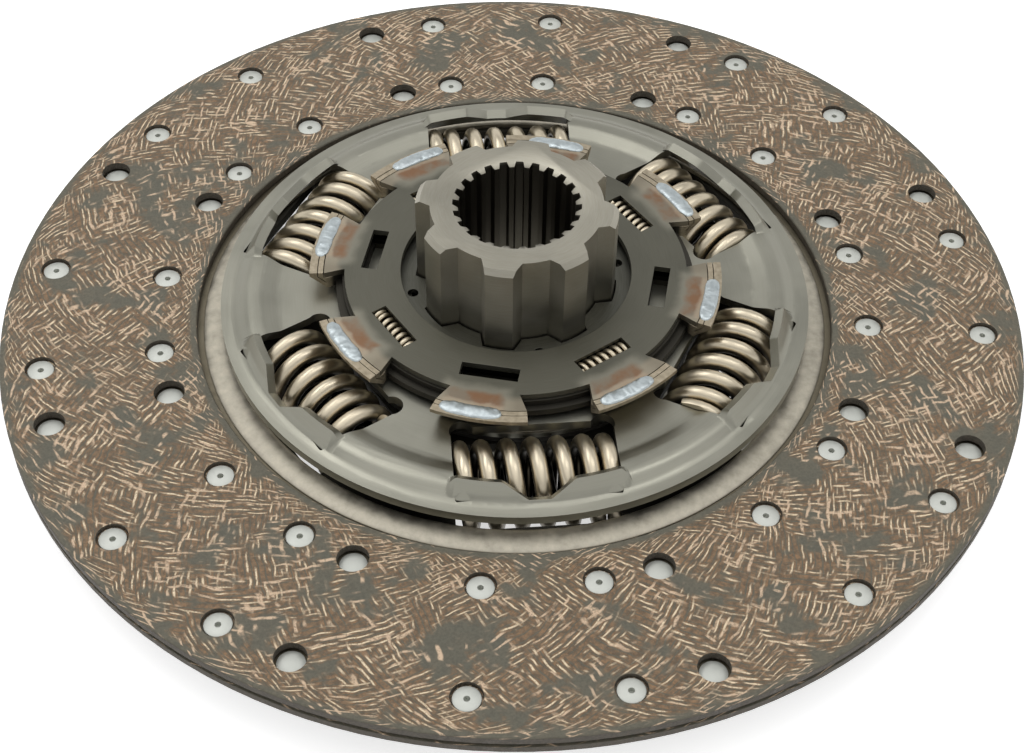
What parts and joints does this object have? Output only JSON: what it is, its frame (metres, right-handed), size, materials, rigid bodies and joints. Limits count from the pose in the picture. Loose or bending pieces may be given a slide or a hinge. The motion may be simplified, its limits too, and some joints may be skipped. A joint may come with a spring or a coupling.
{
  "type": "clutch disc",
  "caption": "Round dry clutch disc with riveted friction facings, main damper springs under lipped guide plates, a welded pre-damper cage and a splined hub.",
  "frame": {"origin": "centre of the disc at the lower end face of the hub", "axes": "+Z along the hub axis towards the gearbox side, where the long hub end stands; a main spring window lies on +Y"},
  "size_m": [0.4299, 0.43, 0.0862],
  "materials": {
    "friction_lining": "moulded and woven, dull",
    "rivet_steel": "satin",
    "spring_sheet": "satin, rolled",
    "pressed_steel": "satin, pressed",
    "cage_steel": "satin, heat tinted at the welds",
    "weld_metal": "lumpy",
    "hub_steel": "machined",
    "spring_wire": "satin",
    "friction_composite": "dull"
  },
  "bodies": {
    "friction_disc": {"upper_facing": "friction_lining", "lower_facing": "friction_lining", "upper_facing_rivets": "rivet_steel", "lower_facing_rivets": "rivet_steel", "cushion_disc": "spring_sheet", "drive_plate": "pressed_steel"},
    "damper_housing": {"cover_plate": "pressed_steel", "lower_guide_plate": "pressed_steel", "spacer_pins": "rivet_steel", "predamper_base_plate": "cage_steel", "predamper_spacer": "cage_steel", "predamper_top_plate": "cage_steel", "weld_beads": "weld_metal", "upper_friction_ring": "friction_composite", "lower_friction_ring": "friction_composite", "pressure_ring": "pressed_steel", "disc_spring": "spring_sheet", "lower_support_ring": "pressed_steel", "hub_bush": "friction_composite"},
    "hub_group": {"hub": "hub_steel", "predamper_flange": "cage_steel", "support_washer": "pressed_steel", "snap_ring": "spring_wire"},
    "main_spring_set": {"main_spring_1": "spring_wire", "inner_spring_1": "spring_wire", "main_spring_2": "spring_wire", "inner_spring_2": "spring_wire", "main_spring_3": "spring_wire", "inner_spring_3": "spring_wire", "main_spring_4": "spring_wire", "inner_spring_4": "spring_wire", "main_spring_5": "spring_wire", "inner_spring_5": "spring_wire", "main_spring_6": "spring_wire", "inner_spring_6": "spring_wire"},
    "small_spring_set": {"small_spring_1": "spring_wire", "small_spring_2": "spring_wire", "small_spring_3": "spring_wire", "small_spring_4": "spring_wire"}
  },
  "joints": [
    {"name": "main_damper_twist", "type": "hinge", "parent": "friction_disc", "child": "damper_housing", "pos_m": [0, 0, 0.02355], "axis": [0, 0, 1], "range_deg": [-8, 8], "stiffness_Nm_per_rad": 60},
    {"name": "predamper_twist", "type": "hinge", "parent": "damper_housing", "child": "hub_group", "pos_m": [0, 0, 0.0432], "axis": [0, 0, 1], "range_deg": [-4, 4], "stiffness_Nm_per_rad": 20},
    {"name": "main_spring_travel", "type": "hinge", "parent": "friction_disc", "child": "main_spring_set", "pos_m": [0, 0, 0.02355], "axis": [0, 0, 1], "range_deg": [-4, 4], "deforming": ["main_spring_1", "inner_spring_1", "main_spring_2", "inner_spring_2", "main_spring_3", "inner_spring_3", "main_spring_4", "inner_spring_4", "main_spring_5", "inner_spring_5", "main_spring_6", "inner_spring_6"]},
    {"name": "small_spring_travel", "type": "hinge", "parent": "damper_housing", "child": "small_spring_set", "pos_m": [0, 0, 0.0447], "axis": [0, 0, 1], "range_deg": [-2, 2], "deforming": ["small_spring_1", "small_spring_2", "small_spring_3", "small_spring_4"]}
  ],
  "couplings": [
    {"joint": "main_spring_travel", "follows": "main_damper_twist", "ratio": 0.5},
    {"joint": "small_spring_travel", "follows": "predamper_twist", "ratio": 0.5}
  ]
}
